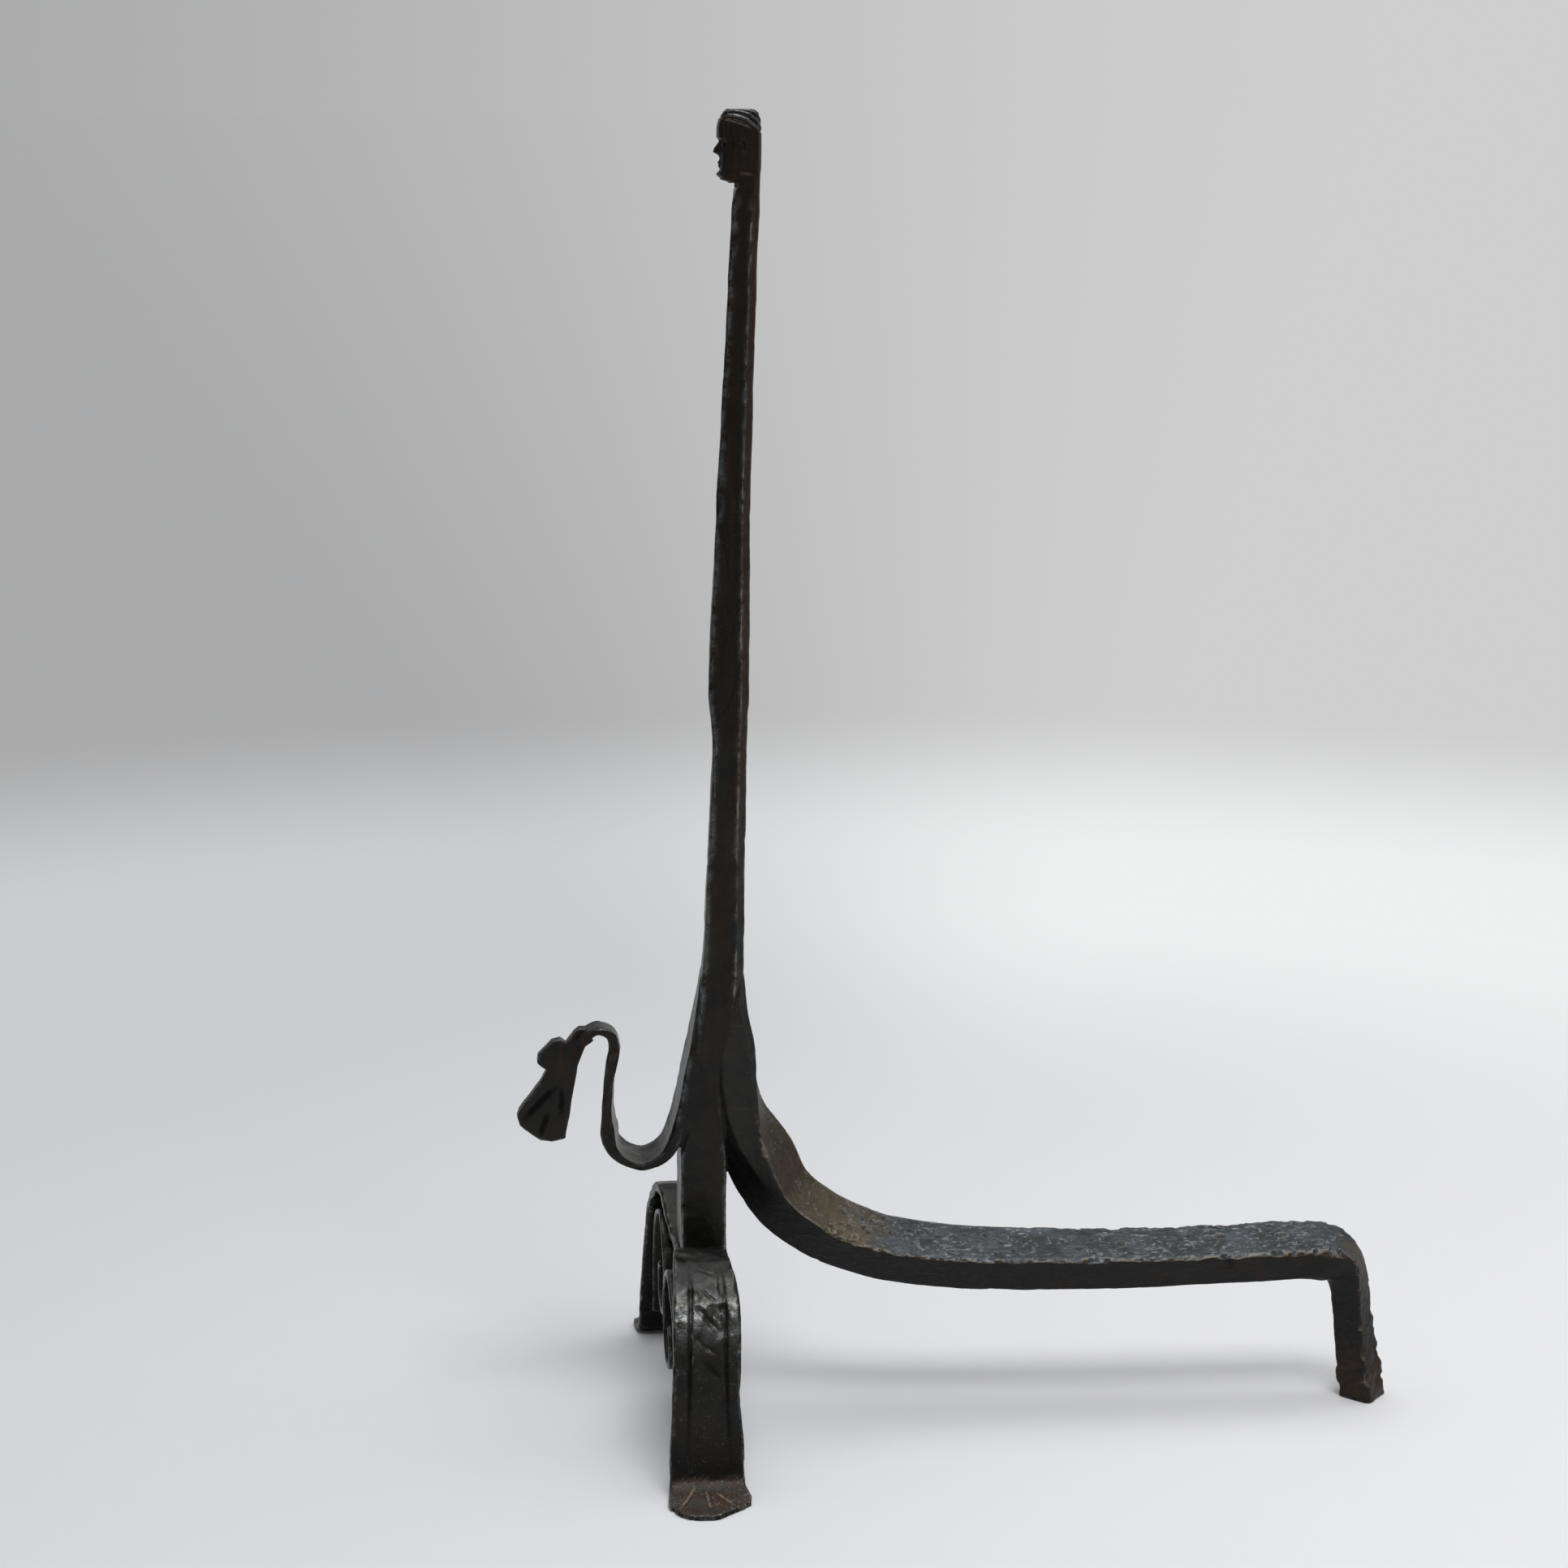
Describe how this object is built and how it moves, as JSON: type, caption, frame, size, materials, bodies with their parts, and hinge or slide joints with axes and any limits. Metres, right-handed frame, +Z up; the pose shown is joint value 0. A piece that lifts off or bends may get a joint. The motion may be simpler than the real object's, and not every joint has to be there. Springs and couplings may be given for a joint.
{
  "type": "andiron",
  "caption": "Hand-forged andiron: tall upright with a small forged head, front hook with a leaf, scrolled front foot and a bar behind that carries logs",
  "frame": {"origin": "middle of the overall box, on the hearth under the andiron", "axes": "+Z up; -X is the front, with the upright and its hook; +X runs back along the bar that carries the logs; Y runs across the two front legs"},
  "size_m": [0.444, 0.2624, 0.651],
  "materials": {
    "dark_iron": "waxed dark forged iron, edges worn grey",
    "scale_iron": "waxed forged iron with grey fire scale"
  },
  "bodies": {
    "root": {"upright": "dark_iron", "billet_bar": "scale_iron", "hook": "dark_iron", "foot_arch": "dark_iron", "near_scroll": "dark_iron", "far_scroll": "dark_iron"}
  },
  "joints": []
}
